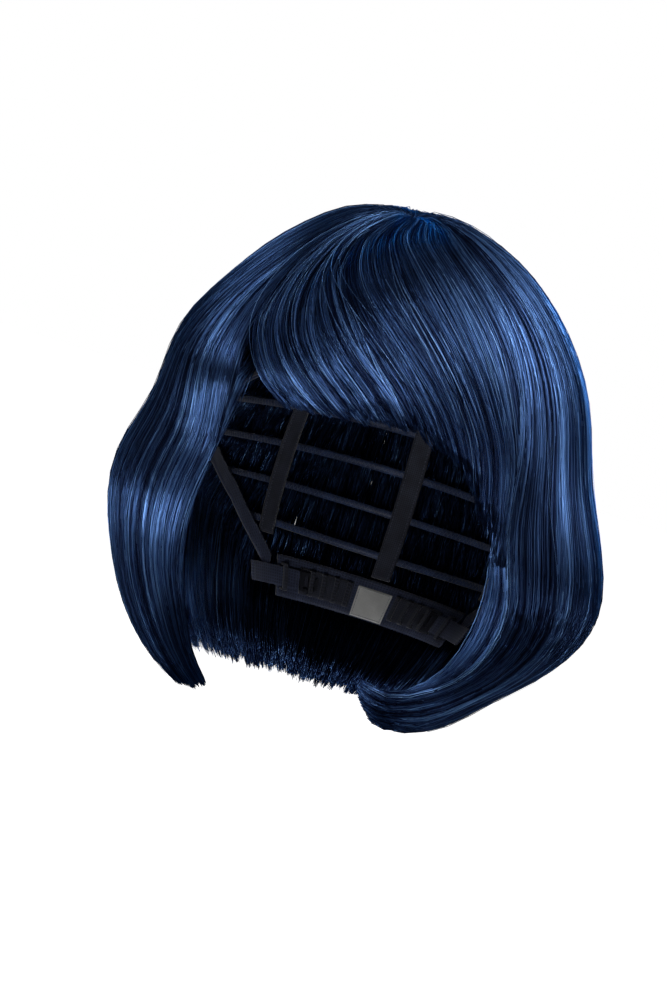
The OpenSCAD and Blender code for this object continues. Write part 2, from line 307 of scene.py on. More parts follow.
def strand_uv(mesh, n, k, sides, quads):
    """Gives each strand a strip of its own in the OFBake UV map."""
    rows = 4
    cols = int(math.ceil(n / rows))
    left = (np.arange(n) % cols) / cols
    low = (np.arange(n) // cols) / rows
    i, j = np.meshgrid(np.arange(sides), np.arange(k - 1))
    u = np.stack([i, i + 1, i + 1, i], -1).reshape(-1) / sides
    v = np.stack([j, j, j + 1, j + 1], -1).reshape(-1) / (k - 1)
    end_u = np.tile(np.arange(sides) / sides, 2)
    end_v = np.repeat([0.0, 1.0], sides)
    u = np.concatenate([u, end_u])
    v = np.concatenate([v, end_v])
    uv = np.empty((n, len(u), 2), np.float32)
    uv[..., 0] = left[:, None] + (0.15 + 0.7 * u) / cols
    uv[..., 1] = low[:, None] + (0.01 + 0.98 * v) / rows
    layer = mesh.uv_layers.new(name="OFBake")
    layer.data.foreach_set("uv", uv.ravel())


# ---------------------------------------------------------------- hair
FIELD_STEPS = 96                         # points along a guide
STRAND_RADIUS = (0.15, 0.31)             # mm
LAST_ROW = 8                             # degrees from the lowest sewn row to the cap's edge
WHORL_SPREAD = 14                        # mm along a guide in which the top strands start
WHORL_DEPTH, WHORL_RISE = 2.5, 9         # mm under the outside at the whorl, and mm until they reach it
ROW_HEIGHT, ROW_RISE = 2.6, 26           # mm over the head at a sewn row, and mm to their layer
RAGGED = 0.013                           # unevenness of the tips, as a share of the length
WANDER, LOCK_WAVE = 0.006, 0.006         # sideways swing of a strand and of a lock, as a share of the panel
STRAY_SHARE, STRAY = 0.06, 0.03          # share of strands that leave their lock, and how far
FLYAWAY_DRIFT = 0.14                     # how far the few strands outside the rest drift sideways
FLYAWAY_LIFT, FLYAWAY_SIZE = (0.5, 3.5), 0.45   # mm that they stand off, and their relative thickness
TURN = 6.3                               # radians, about one turn
CUT, FRINGE_CUT = 0.018, 0.075           # how much shorter than the longest a lock can be
FRINGE_PULL = 1.4                        # how much more the fringe's tips draw together


def direction(az, pol):
    return np.stack([sin(pol) * sin(az), -sin(pol) * cos(az), cos(pol)], -1)


def angles(d):
    """Azimuth and polar angle of directions from the middle."""
    d = d / np.linalg.norm(d, axis=-1, keepdims=True)
    return np.degrees(np.arctan2(d[..., 0], -d[..., 1])), np.degrees(np.arccos(np.clip(d[..., 2], -1, 1)))


def guide_field(rows):
    """The directions along each guide of a panel, sampled evenly, and the guides' lengths."""
    field, lengths = [], []
    for row in rows:
        p = np.array([direction(*map(float, point)) for point in [WHORL] + row])
        p = np.vstack([2 * p[0] - p[1], p, 2 * p[-1] - p[-2]])
        x = np.linspace(0, len(row), 400)
        i = np.minimum(x.astype(int), len(row) - 1)
        f = (x - i)[:, None]
        a, b, c, d = p[i], p[i + 1], p[i + 2], p[i + 3]
        bend = 2 * a - 5 * b + 4 * c - d
        twist = 3 * b - a - 3 * c + d
        q = 0.5 * (2 * b + (c - a) * f + bend * f ** 2 + twist * f ** 3)
        az, pol = angles(q)
        place = at(az, pol, hair_r(az, pol))
        length = np.concatenate([[0], np.cumsum(np.linalg.norm(np.diff(place, axis=0), axis=1))])
        even = np.linspace(0, length[-1], FIELD_STEPS)
        field.append(np.stack([np.interp(even, length, q[:, n]) for n in range(3)], 1))
        lengths.append(length[-1])
    return np.array(field), np.array(lengths)


def sample(field, u, t):
    """Azimuth and polar angle at u across a panel and t along its guides, for arrays of one shape."""
    gu = np.clip(u, 0, 1) * (len(field) - 1)
    gi = np.clip(gu.astype(int), 0, len(field) - 2)
    gf = (gu - gi)[..., None]
    st = np.clip(t, 0, 1) * (FIELD_STEPS - 1)
    si = np.clip(st.astype(int), 0, FIELD_STEPS - 2)
    sf = (st - si)[..., None]
    low = field[gi, si] * (1 - sf) + field[gi, si + 1] * sf
    high = field[gi + 1, si] * (1 - sf) + field[gi + 1, si + 1] * sf
    return angles(low * (1 - gf) + high * gf)


def row_t(field, u, pol):
    """How far along the guides the row at polar angle pol crosses them."""
    steps = np.linspace(0, 1, 80)
    grid_u = np.broadcast_to(u[:, None], (len(u), len(steps)))
    _, pols = sample(field, grid_u, np.broadcast_to(steps, grid_u.shape))
    pols = np.maximum.accumulate(pols, axis=1) + 1e-6 * steps
    return np.array([np.interp(p, row, steps) for p, row in zip(pol, pols)])


def strands(guides, count, rows, depth, points, locks, pull, flyaways, cut):
    """Paths, radii and tones of hair from rows (None is the whorl), in a layer between two depths.

    Each strand belongs to the nearest lock, pull is how far the tips draw together in it, and cut is how
    much shorter than the longest a lock can be, as a share of its length."""
    field, lengths = guides
    one = (count, 1)
    u_lock = np.sort(RNG.random(locks))
    u = (RNG.permutation(count) + RNG.random(count)) / count
    lock = np.abs(u[:, None] - u_lock[None, :]).argmin(1)
    centre = u_lock[lock]
    length = np.interp(u * (len(field) - 1), np.arange(len(field)), lengths)
    if rows is None:
        t0 = RNG.uniform(0, WHORL_SPREAD, count) / length
    else:
        rows = np.array(rows, float)
        pick = RNG.choice(len(rows), count, p=sin(rows) / sin(rows).sum())
        row = rows[pick] + RNG.normal(0, 0.4, count)
        az, _ = sample(field, u, row_t(field, u, row))
        t0 = row_t(field, u, np.minimum(row, rim(az) - LAST_ROW))
    t1 = 1 - np.abs(RNG.normal(0, RAGGED, count)) - cut * RNG.random(locks)[lock]
    s = np.linspace(0, 1, points)[None, :]
    t = t0[:, None] + (t1 - t0)[:, None] * s
    gather = pull * ease(s, 0.3, 1.0)
    wander = RNG.normal(0, WANDER, one)
    wander = wander * np.sin(s * np.pi * (1 + 3 * RNG.random(one)) + TURN * RNG.random(one))
    wave = LOCK_WAVE * RNG.normal(0, 1, locks)[lock][:, None]
    wave = wave * np.sin(3.5 * s + TURN * RNG.random(locks)[lock][:, None])
    free = (RNG.random(count) < flyaways)[:, None]
    loose = (RNG.random(count) < STRAY_SHARE)[:, None] * RNG.normal(0, STRAY, one) * ease(s, 0.1, 1.0)
    loose = loose + free * RNG.normal(0, FLYAWAY_DRIFT, one) * ease(s, 0.0, 0.8)
    uu = np.clip(u[:, None] * (1 - gather) + centre[:, None] * gather + wander + wave + loose, 0, 1)
    az, pol = sample(field, uu, t)
    d = depth[0] + (depth[1] - depth[0]) * RNG.random(count) ** 1.2
    d = (d + 0.06 * RNG.normal(0, 1, locks)[lock])[:, None]
    d = d * (1 - 0.25 * gather) + 0.1 * gather
    outer, inner = hair_r(az, pol), hair_in(az, pol)
    layer = outer - (outer - inner) * np.clip(d, 0.0, 0.97)
    layer = layer + RNG.normal(0, 0.5, one) * np.sin(5 * s + TURN * RNG.random(one))
    lift = free * RNG.uniform(*FLYAWAY_LIFT, one)
    layer = layer + lift * np.sin(np.pi * s ** RNG.uniform(0.7, 2.2, one)) ** 2
    travelled = (t - t0[:, None]) * length[:, None]
    if rows is None:
        root, rise = outer - WHORL_DEPTH, ease(travelled, 0, WHORL_RISE)
    else:
        root, rise = head_r(az, pol) + ROW_HEIGHT, ease(travelled, 0, ROW_RISE)
    paths = at(az, pol, root * (1 - rise) + layer * rise)
    size = RNG.uniform(*STRAND_RADIUS, one) * np.where(free, FLYAWAY_SIZE, 1)
    taper = (0.55 + 0.45 * ease(s, 0, 0.1)) * (1 - 0.45 * ease(s, 0.96, 1.0))
    tone = np.clip(RNG.beta(1.1, 2.1, count) + 0.17 * RNG.normal(0, 1, locks)[lock], 0, 1)
    # Flyaways take a pale tone of 0.95, a painted highlight of loose thin fibres catching the light.
    return paths, size * taper, np.where(free[:, 0], 0.95, tone)


def blend_ends(panel, low_pol, high_pol):
    """Points on a panel's outside, at its middle, where a blend starts and ends."""
    az = CENTRE[panel]
    return [tuple(at(az, p, hair_r(az, p)) * MM) for p in (low_pol, high_pol)]


# layer: the rows that it is sewn on, share of the strands, depths, points, locks, how far the tips draw
# together, flyaways, and the polar angles that its blend spans
LAYERS = {
    "outer": (None, 0.24, (0.0, 0.16), 28, 54, 0.60, 0.010, (36, 60)),
    "under": (None, 0.24, (0.06, 0.30), 28, 46, 0.45, 0.0, (36, 60)),
    "crown": ([13, 21, 29, 37], 0.24, (0.05, 0.50), 28, 40, 0.35, 0.0, (38, 60)),
    "upper": ([50, 61, 72], 0.14, (0.35, 0.85), 20, 40, 0.15, 0.0, (50, 84)),
    "lower": ([83, 94, 105], 0.14, (0.35, 0.97), 16, 40, 0.10, 0.0, (84, 112)),
}
FRINGE_ROWS = [49, 53.5]
TOTAL = 26000
shares = sum(SHARE.values())
for panel, rows in GUIDES.items():
    guides = guide_field(rows)
    for layer, (roots, share, depth, points, locks, pull, flyaways, span) in LAYERS.items():
        cut = CUT
        if panel == "fringe":
            cut = FRINGE_CUT
            pull = FRINGE_PULL * pull
            if layer == "lower":
                continue
            if layer == "upper":
                roots, span = FRINGE_ROWS, (46, 62)
        count = int(TOTAL * SHARE[panel] / shares * share)
        paths, size, tone = strands(guides, count, roots, depth, points, locks, pull, flyaways, cut)
        piece = tubes(f"{panel}_{layer}_hair", paths, size, hair_look, tone=tone)
        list(blend_ends(panel, *span))
        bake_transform(piece)
for panel in GUIDES:
    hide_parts("hair_" + panel)
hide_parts("hair_crown_front")
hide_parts("hair_crown_left")
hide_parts("hair_crown_right")
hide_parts("hair_crown_back")

# ---------------------------------------------------------------- the cap
NET_T, TAPE_T = 0.8, 1.0                 # thickness of the net and of the tapes
WEFT_LOW, WEFT_T = 1.4, 1.8              # height of a weft's underside over the head, and its thickness
NAPE_MID = np.array([0.0, 35.0, -34.0])  # middle of the nape band's curve
NAPE_R, NAPE_SLANT = 54.3, 0.45          # its radius there, and how much wider it is per mm up
STITCH_R = 0.17                          # radius of the fine stitches
PER_MM = 1 / 94 / DEG                    # degrees in a millimetre of the cap
CROWN_END = 46.2                         # polar angle of the crown net's edge


def on_cap(az, pol, height):
    """A point of the cap, at that height over the head."""
    return at(az, pol, head_r(az, pol) + height)


def on_nape(angle, z, depth):
    """A point of the nape band, at that depth outside its inner face."""
    r = NAPE_R + depth + NAPE_SLANT * z
    return NAPE_MID + np.stack([r * sin(angle), r * cos(angle), z + 0 * r], -1)


class Sewn:
    """Gathers strips, threads and dashes, each with a material number, into one mesh."""

    def __init__(self, surface):
        self.surface = surface
        self.co, self.loops, self.counts, self.slots, self.uv = [], [], [], [], []
        self.total = 0

    def add(self, co, faces, uv, slot):
        self.co.append(co)
        for f in faces:
            self.loops.append(np.asarray(f).ravel() + self.total)
            self.counts.append(np.full(len(f), np.shape(f)[1]))
            self.slots.append(np.full(len(f), slot))
        self.uv.append(uv)
        self.total += len(co)

    def strip(self, place, low, thick, nu, nv, slot=0, ring=False, relief=None):
        """A closed strip of cloth at place(u, v) on the surface, lifted by relief(u, v)."""
        u, v = np.meshgrid(np.linspace(0, 1, nu + 1), np.linspace(0, 1, nv + 1), indexing="ij")
        a, b = place(u, v)
        lift = relief(u, v) if relief else 0 * u
        layers = [self.surface(a, b, low + 0 * u), self.surface(a, b, low + thick + lift)]
        co = np.concatenate([layer.reshape(-1, 3) for layer in layers])
        i = np.arange((nu + 1) * (nv + 1)).reshape(nu + 1, nv + 1)
        quads = np.stack([i[:-1, :-1], i[1:, :-1], i[1:, 1:], i[:-1, 1:]], -1).reshape(-1, 4)
        edge = [i[:, 0], i[:, -1][::-1]] + ([] if ring else [i[0][::-1], i[-1]])
        top = quads + i.size
        walls = [np.stack([e[1:], e[:-1], e[:-1] + i.size, e[1:] + i.size], -1) for e in edge]
        walls = np.concatenate(walls)
        middle = layers[1]
        long = np.linalg.norm(np.diff(middle[:, nv // 2], axis=0), axis=1).sum()
        wide = np.linalg.norm(np.diff(middle[nu // 2], axis=0), axis=1).sum()
        uv = np.tile(np.stack([u * long, v * wide], -1).reshape(-1, 2), (2, 1))
        self.add(co, [quads[:, ::-1], top, walls[:, ::-1]], uv, slot)

    def threads(self, paths, radius, slot=0, sides=4):
        """Round threads along paths, (n, k, 3) in mm."""
        n, k, _ = paths.shape
        co, quads, first, last = tube_shell(paths, np.full((n, k), radius), sides, 1.0)
        length = np.broadcast_to(np.linspace(0, 20, k)[None, :, None], (n, k, sides))
        around_it = np.broadcast_to(np.arange(sides)[None, None, :] * radius, (n, k, sides))
        uv = np.stack([length, around_it], -1).reshape(-1, 2)
        self.add(co.reshape(-1, 3), [quads.reshape(-1, 4), first, last], uv, slot)

    def seam(self, place, height, count, slot=1, radius=0.22, fill=0.62):
        """A row of stitches along place(u)."""
        u = (np.arange(count)[:, None] + fill * np.linspace(0, 1, 4)[None, :]) / count
        a, b = place(u)
        dip = 0.25 * np.array([-1, 0.6, 0.6, -1])[None, :]
        self.threads(self.surface(a, b, height + dip), radius, slot, 3)

    def zigzag(self, place, height, count, slot=1, radius=0.2):
        """A zigzag seam between place(u, 0) and place(u, 1)."""
        u = np.linspace(0, 1, 2 * count + 1)
        a, b = place(u, np.arange(2 * count + 1) % 2)
        self.threads(self.surface(a, b, height + 0 * u)[None], radius, slot, 3)

    def piece(self, name, materials, slot_name, *nodes):
        """The mesh as a piece that stands for nodes."""
        co, loops, counts = (np.concatenate(part) for part in (self.co, self.loops, self.counts))
        piece = new_piece(name, co, loops, counts, materials[0])
        for m in materials[1:]:
            piece.data.materials.append(m)
        piece.data.polygons.foreach_set("material_index", np.concatenate(self.slots).astype(np.int32))
        uv = np.concatenate(self.uv)[loops]
        piece.data.uv_layers.new(name="cloth").data.foreach_set("uv", uv.astype(np.float32).ravel())
        weld(piece)
        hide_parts(*nodes)
        return piece


def weld(piece):
    """Joins the two ends of every ring in a mesh."""
    shape = bmesh.new()
    shape.from_mesh(piece.data)
    bmesh.ops.remove_doubles(shape, verts=shape.verts, dist=0.001 * MM)
    shape.to_mesh(piece.data)
    shape.free()


def weave(name, dark, light, roughness, pitch=0.9, sheen=0.3, bump=0.25, twill=0.0):
    """Woven cloth: two crossed sets of yarns, in mm, with uneven colour."""
    m, tree, shader = node_material(name, roughness, 0.0, sheen)
    link, new = tree.links.new, tree.nodes.new
    uv = new("ShaderNodeUVMap")
    uv.uv_map = "cloth"
    waves = []
    for axis, turn in (("X", twill), ("Y", -twill)):
        mapping = new("ShaderNodeMapping")
        mapping.inputs["Rotation"].default_value = (0, 0, turn)
        link(uv.outputs["UV"], mapping.inputs["Vector"])
        wave = new("ShaderNodeTexWave")
        wave.bands_direction = axis
        wave.inputs["Scale"].default_value = 0.314 / pitch
        wave.inputs["Distortion"].default_value = 0.6
        wave.inputs["Detail"].default_value = 1.0
        link(mapping.outputs["Vector"], wave.inputs["Vector"])
        waves.append(wave)
    cross = new("ShaderNodeMath")
    cross.operation = "MAXIMUM"
    link(waves[0].outputs["Fac"], cross.inputs[0])
    link(waves[1].outputs["Fac"], cross.inputs[1])
    worn = new("ShaderNodeTexNoise")
    worn.inputs["Scale"].default_value = 0.12
    worn.inputs["Detail"].default_value = 4
    link(uv.outputs["UV"], worn.inputs["Vector"])
    blend = new("ShaderNodeMath")
    blend.operation = "MULTIPLY"
    link(cross.outputs[0], blend.inputs[0])
    link(worn.outputs["Fac"], blend.inputs[1])
    colours = ramp(tree, [(0.15, dark), (0.75, light)])
    link(blend.outputs[0], colours.inputs["Fac"])
    link(colours.outputs["Color"], shader.inputs["Base Color"])
    rise = new("ShaderNodeBump")
    rise.inputs["Strength"].default_value = bump
    rise.inputs["Distance"].default_value = 0.0003
    link(cross.outputs[0], rise.inputs["Height"])
    link(rise.outputs["Normal"], shader.inputs["Normal"])
    return m


tape_look = weave("woven_tape", (0.010, 0.012, 0.022), (0.050, 0.058, 0.095), 0.75)
elastic_look = weave("ribbed_elastic", (0.016, 0.022, 0.050), (0.070, 0.090, 0.170), 0.6, pitch=1.3)
satin_look = weave("satin_ribbon", (0.012, 0.018, 0.050), (0.045, 0.070, 0.170), 0.34, pitch=0.5, twill=0.5)
net_look = weave("elastic_net", (0.008, 0.010, 0.020), (0.035, 0.042, 0.075), 0.7, pitch=0.7)
lace_look = weave("lace_yarn", (0.010, 0.012, 0.028), (0.045, 0.055, 0.110), 0.65, pitch=0.7)
velour_look = weave("velour", (0.012, 0.020, 0.060), (0.045, 0.075, 0.190), 0.95, pitch=0.6, sheen=0.8)
weft_look = weave("weft_fibre", (0.008, 0.014, 0.040), (0.050, 0.095, 0.240), 0.45, pitch=0.8)
thread_look = weave("sewing_thread", (0.030, 0.038, 0.070), (0.110, 0.135, 0.220), 0.55, pitch=0.6)
pale_thread_look = weave("label_thread", (0.20, 0.21, 0.23), (0.45, 0.46, 0.48), 0.6, pitch=0.6)
label_look = weave("woven_label", (0.52, 0.52, 0.50), (0.90, 0.90, 0.87), 0.6, pitch=0.5)
boning_look = weave("boning", (0.30, 0.31, 0.34), (0.55, 0.56, 0.60), 0.35, pitch=2.5, sheen=0.0, bump=0.05)


def net_threads(sewn, place, around, points, radius, slant):
    """Two crossing families of threads. place(u, v) is on the panel, and slant is how far they lean."""
    v = np.linspace(0, 1, points)[None, :]
    for way in (1, -1):
        start = (np.arange(around) + 0.5)[:, None] / around
        u = start + way * slant * v
        a, b = place(u, v + 0 * u)
        sewn.threads(on_cap(a, b, NET_T / 2 + 0.12 * way + 0 * a), radius, 0, 3)


def crown_net():
    sewn = Sewn(on_cap)
    net_threads(sewn, lambda u, v: (360 * u, 6.5 + 39.2 * v), 190, 34, 0.3, 0.16)
    for pol in (6.3, 45.7):
        sewn.strip(lambda u, v, p=pol: (360 * u, p - 0.25 + 0.5 * v), 0.05, 0.7, 160, 1, 1, ring=True)
    piece = sewn.piece("crown_net_mesh", [net_look, tape_look], "cap_net", "crown_net")
    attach(piece, "cap")
    return piece


def crown_patch():
    sewn = Sewn(on_cap)
    sewn.strip(lambda u, v: (360 * u, 0.6 + 7.4 * v), WEFT_LOW, 0.7, 72, 6, 0, ring=True,
               relief=lambda u, v: 0.3 * np.sin(np.pi * v))
    for pol in (3.0, 5.2, 7.3):
        sewn.seam(lambda u, p=pol: (360 * u, p + 0 * u), WEFT_LOW + 1.05, int(9 * pol))
    piece = sewn.piece("crown_patch_velour", [velour_look, thread_look], "velvet_patch", "crown_patch")
    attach(piece, "cap")
    return piece


def between(side, first, last):
    """Azimuths across a piece on one side of the wearer, whose numbers are those on the left."""
    start = first if side > 0 else -last
    return lambda u: start + (last - first) * u


def lace_panel(name, node, az):
    """Stretch lace with a scalloped thread pattern and a bound edge at the rim."""
    sewn = Sewn(on_cap)
    top = 46.3

    def place(u, v):
        across = az(np.clip(u, 0, 1))
        return across, top + (rim(across) - 0.4 - top) * v

    wide = abs(float(az(1) - az(0)))
    v = np.linspace(0, 1, 22)
    count = int(wide / 1.1)
    for way in (1, -1):
        start = np.linspace(-0.1, 1.1, int(count * 1.2))[:, None]
        u = start + way * 0.22 * (v[None, :] - 0.5) + 0.004 * np.sin(24 * v[None, :] + 6 * start)
        a, b = place(u, v[None, :] + 0 * u)
        sewn.threads(on_cap(a, b, 0.4 + 0.1 * way + 0 * a), 0.21, 0, 3)
    across = np.linspace(0.04, 0.96, 7)
    u = np.linspace(0, 1, 90)[None, :]
    rows = across[:, None] + 0.035 * np.abs(np.sin(np.pi * wide / 7 * u))
    a, b = place(u + 0 * rows, rows)
    sewn.threads(on_cap(a, b, 0.45 + 0 * a), 0.34, 0, 3)
    sewn.strip(lambda u, v: (az(u), rim(az(u)) - 1.2 + 1.1 * v), 0.1, 0.7, 60, 1, 1)
    sewn.seam(lambda u: (az(u), rim(az(u)) - 0.65), 0.95, int(wide), 1)
    piece = sewn.piece(name, [lace_look, tape_look], "cap_lace", node)
    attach(piece, "cap")
    return piece


def tape(name, node, place, low, look, slot, nu, nv, stitches, relief):
    """A sewn tape with a row of stitches along both of its edges."""
    sewn = Sewn(on_cap)
    sewn.strip(place, low, TAPE_T * 0.86, nu, nv, 0, relief=relief)
    for v in (0.12, 0.88):
        for h in (low - 0.02, low + TAPE_T * 0.86 + 0.05):
            sewn.seam(lambda u, v=v: place(u, v + 0 * u), h, stitches, 1, STITCH_R)
    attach(sewn.piece(name, [look, thread_look], slot, node), "cap")


def rib(name, az):
    """A back rib, from the crown net's edge to just above the nape band or the rim elastic."""
    half = 3.5 / 75 / DEG
    end = float(rim(az)) - (13 if abs(wrapped(az)) > 150 else 7)
    tape(name + "_tape", name, lambda u, v: (az - half + 2 * half * v, CROWN_END + (end - CROWN_END) * u),
         0.02, tape_look, "cap_tape", 70, 6, 34,
         relief=lambda u, v: 0.10 * np.abs(np.sin(np.pi * 3 * v)))


def weft(name, az0, az1, pol, ring=False):
    """A machine-sewn weft: a ridged band of hair roots with two zigzag seams."""
    sewn = Sewn(on_cap)
    half = 1.5 / (115 if ring else 94) / DEG
    long = abs(az1 - az0) * math.sin(pol * DEG) * 1.7
    ridges = max(int(long / 1.6), 12)

    def band(u, v, width):
        return az0 + (az1 - az0) * u, pol + width * half * (2 * v - 1)

    sewn.strip(lambda u, v: band(u, v, 1), WEFT_LOW + 0.1, WEFT_T - 0.5, ridges * 3, 2, 0, ring=ring,
               relief=lambda u, v: 0.3 * np.sin(2 * np.pi * ridges * u) * np.sin(np.pi * v))
    for h in (WEFT_LOW, WEFT_LOW + WEFT_T - 0.25):
        sewn.zigzag(lambda u, v: band(u, v, 0.7), h, int(long / 2.2))
    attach(sewn.piece(name + "_band", [weft_look, thread_look], "hair_weft", name), "cap")


def ear_tab(side, name):
    """A curved cloth tab with a bound edge, stitching and a boning stay in a channel."""
    az = between(side, 65, 87)
    body = f"ear_tab_{name}_body"
    first_in, last_in = (3, 5) if side > 0 else (5, 3)

    def place(u, v):
        first, last = az(0) + first_in * v, az(1) - last_in * v
        low = 101 - 7 * (2 * u - 1) ** 2
        return first + (last - first) * u, 84.8 + (low - 84.8) * v

    sewn = Sewn(on_cap)
    sewn.strip(place, 0.05, 0.95, 28, 14, 0,
               relief=lambda u, v: 0.12 * np.sin(np.pi * u) * np.sin(np.pi * v))
    edge = np.linspace(0, 1, 60)
    outline_u = np.concatenate([0.02 + 0 * edge, edge, 0.98 + 0 * edge])
    outline_v = np.concatenate([edge, 0.985 + 0 * edge, edge[::-1]])
    for h in (0.0, 1.05):
        a, b = place(outline_u, outline_v)
        sewn.threads(on_cap(a, b, h + 0 * a)[None], 0.38, 1, 4)
        sewn.seam(lambda u: place(0.08 + 0.84 * u, 0.90 + 0 * u), h, 16, 2, STITCH_R)
        for u0 in (0.09, 0.91):
            sewn.seam(lambda u, u0=u0: place(u0 + 0 * u, 0.06 + 0.84 * u), h, 15, 2, STITCH_R)
    looks = [satin_look, tape_look, thread_look]
    tab = sewn.piece(f"ear_tab_{name}_cloth", looks, "cap_ribbon", f"ear_tab_{name}")
    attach(tab, body)
    stay = Sewn(on_cap)
    line = between(side, 74, 77)
    stay.strip(lambda u, v: (line(v), 86.8 + 13 * u), 1.4, 0.45, 24, 6, 0,
               relief=lambda u, v: 0.35 * np.sqrt(np.clip(1 - (2 * v - 1) ** 2, 0, 1)))
    for v0 in (-0.10, 1.10):
        stay.seam(lambda u, v0=v0: (line(v0) + 0 * u, 86.8 + 13 * u), 1.3, 12, 1, STITCH_R)
    bone = stay.piece(f"ear_stay_{name}_boning", [boning_look, thread_look], "stay", f"ear_stay_{name}")
    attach(bone, body)
    return tab


def nape_band():
    sewn = Sewn(on_nape)
    sewn.strip(lambda u, v: (-47 + 94 * u, -8.5 + 17 * v), 0.0, 0.85, 120, 12, 0,
               relief=lambda u, v: 0.12 * np.abs(np.sin(np.pi * 6 * v)))
    for z in (-7.2, 7.2):
        for depth in (0.0, 1.0):
            sewn.seam(lambda u, z=z: (-46 + 92 * u, z + 0 * u), depth, 46)
    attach(sewn.piece("nape_band_tape", [elastic_look, thread_look], "elastic", "nape_band"), "cap")


def care_label():
    sewn = Sewn(on_nape)
    sewn.strip(lambda u, v: (-8 + 16 * u, -8 + 13 * v), -0.55, 0.35, 30, 20, 0,
               relief=lambda u, v: 0.08 * np.sin(7 * u + 3 * v))
    for u0 in (-7.2, 7.2):
        sewn.seam(lambda u, u0=u0: (u0 + 0 * u, -7.4 + 11.8 * u), -0.52, 9, 1)
    for z in (-7.3, 4.3):
        sewn.seam(lambda u, z=z: (-7.2 + 14.4 * u, z + 0 * u), -0.52, 12, 1)
    label = sewn.piece("care_label_cloth", [label_look, pale_thread_look], "label", "care_label")
    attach(label, "cap")
    return label


def nape_ring(sewn, a0, a1, half, depth, thick, slot):
    """A flat loop of tape that stands off the nape band and is sewn down above and below."""
    line = [(-0.6, -half - 0.45), (-depth, -half - 0.45), (-depth, half + 0.45), (-0.6, half + 0.45)]
    t = np.linspace(0, 1, 40)
    d = np.interp(t * 3, range(4), [p[0] for p in line])
    z = np.interp(t * 3, range(4), [p[1] for p in line])
    soft = np.convolve(np.pad(d, 3, "edge"), np.ones(7) / 7, "valid")
    for angle in np.linspace(a0 + 0.4, a1 - 0.4, 4 if a1 - a0 < 2.1 else 5):
        path = on_nape(angle + 0 * t, z, soft)
        sewn.threads(path[None], thick, slot, 5)


def adjuster(side, name):
    """The loop tape, keeper and strap on one side of the nape."""
    tape_piece = Sewn(on_nape)
    tape_piece.strip(lambda u, v: (side * (10 + 25 * u), -5.4 + 10.8 * v), -0.92, 0.80, 50, 8, 0)
    for i in range(4):
        nape_ring(tape_piece, side * (12 + 6 * i) - 1, side * (12 + 6 * i) + 1, 4.5, 3.25, 0.42, 0)
        for z in (-5.0, 5.0):
            tape_piece.seam(lambda u, i=i, z=z: (side * (11 + 6 * i + 2 * u), z + 0 * u), -1.0, 2, 1, 0.2)
    looks = [tape_look, thread_look]
    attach(tape_piece.piece(f"loop_tape_{name}_sewn", looks, "cap_tape", f"loop_tape_{name}"), "cap")
    keeper = Sewn(on_nape)
    nape_ring(keeper, side * 44.75 - 1.25, side * 44.75 + 1.25, 4.6, 3.5, 0.5, 0)
    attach(keeper.piece(f"strap_keeper_{name}_loop", looks, "cap_tape", f"strap_keeper_{name}"), "cap")
    strap = Sewn(on_nape)
    strap.strip(lambda u, v: (side * (36.2 + 29.8 * u), -4 + 8 * v), -2.45, 0.80, 90, 12, 0,
                relief=lambda u, v: 0.14 * np.abs(np.sin(np.pi * 5 * v)))
    strap.seam(lambda u: (side * 64.5 + 0 * u, -3.4 + 6.8 * u), -2.45, 6, 1)
    strap.seam(lambda u: (side * 38.0 + 0 * u, -3.4 + 6.8 * u), -2.45, 6, 1)
    elastic = strap.piece(f"adjuster_strap_{name}_elastic", [elastic_look, thread_look], "elastic",
                          f"adjuster_strap_{name}")
    far, near = (tuple(on_nape(np.float64(side * a), np.float64(0), np.float64(-2)) * MM) for a in (65, 48))
    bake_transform(elastic)


crown_net()
crown_patch()
lace_panel("front_lace", "front_panel", lambda u: -51.8 + 103.6 * u)
for side, name in ((1, "left"), (-1, "right")):
    lace_panel("side_lace_" + name, "side_panel_" + name, between(side, 52.5, 98.9))
tape("forehead_satin", "forehead_ribbon",
     lambda u, v: (49 * (2 * u - 1), rim(49 * (2 * u - 1)) - 6.9 + 6.8 * v),
     -1.48, satin_look, "cap_ribbon", 110, 8, 60, relief=lambda u, v: 0.08 * np.sin(40 * u))
for side, name in ((1, "left"), (-1, "right")):
    az = between(side, 88, 146)
    tape(f"rim_elastic_{name}_ribbed", f"rim_elastic_{name}",
         lambda u, v, az=az: (az(u), rim(az(u)) + 1.5 - 9 * PER_MM * (1 - v)),
         -1.28, elastic_look, "elastic", 150, 10, 44,
         relief=lambda u, v: 0.10 * np.abs(np.sin(np.pi * 42 * u)))
    ear_tab(side, name)
    adjuster(side, name)
RIBS = {"ear_left": 105, "back_left": 143, "centre": 180, "back_right": 217, "ear_right": 255}
for name, az in RIBS.items():
    rib("rib_" + name, az)
for row, pol in enumerate((13, 21, 29, 37), 1):
    weft(f"weft_crown_{row}", 0, 360, pol, ring=True)
for row, pol in enumerate((49, 53.5), 1):
    weft(f"weft_fringe_{row}", -46, 46, pol)
for row, pol in enumerate((50, 62, 74), 1):
    weft(f"weft_side_left_{row}", 54, 98, pol)
    weft(f"weft_side_right_{row}", -98, -54, pol)
BACK_WEFTS = [(50, 0), (61, 0), (72, 0), (83, 4), (94, 19), (105, 30)]   # polar angle, inset of the ends
for row, (pol, inset) in enumerate(BACK_WEFTS, 1):
    weft(f"weft_back_{row}", 102 + inset, 258 - inset, pol)
nape_band()
care_label()


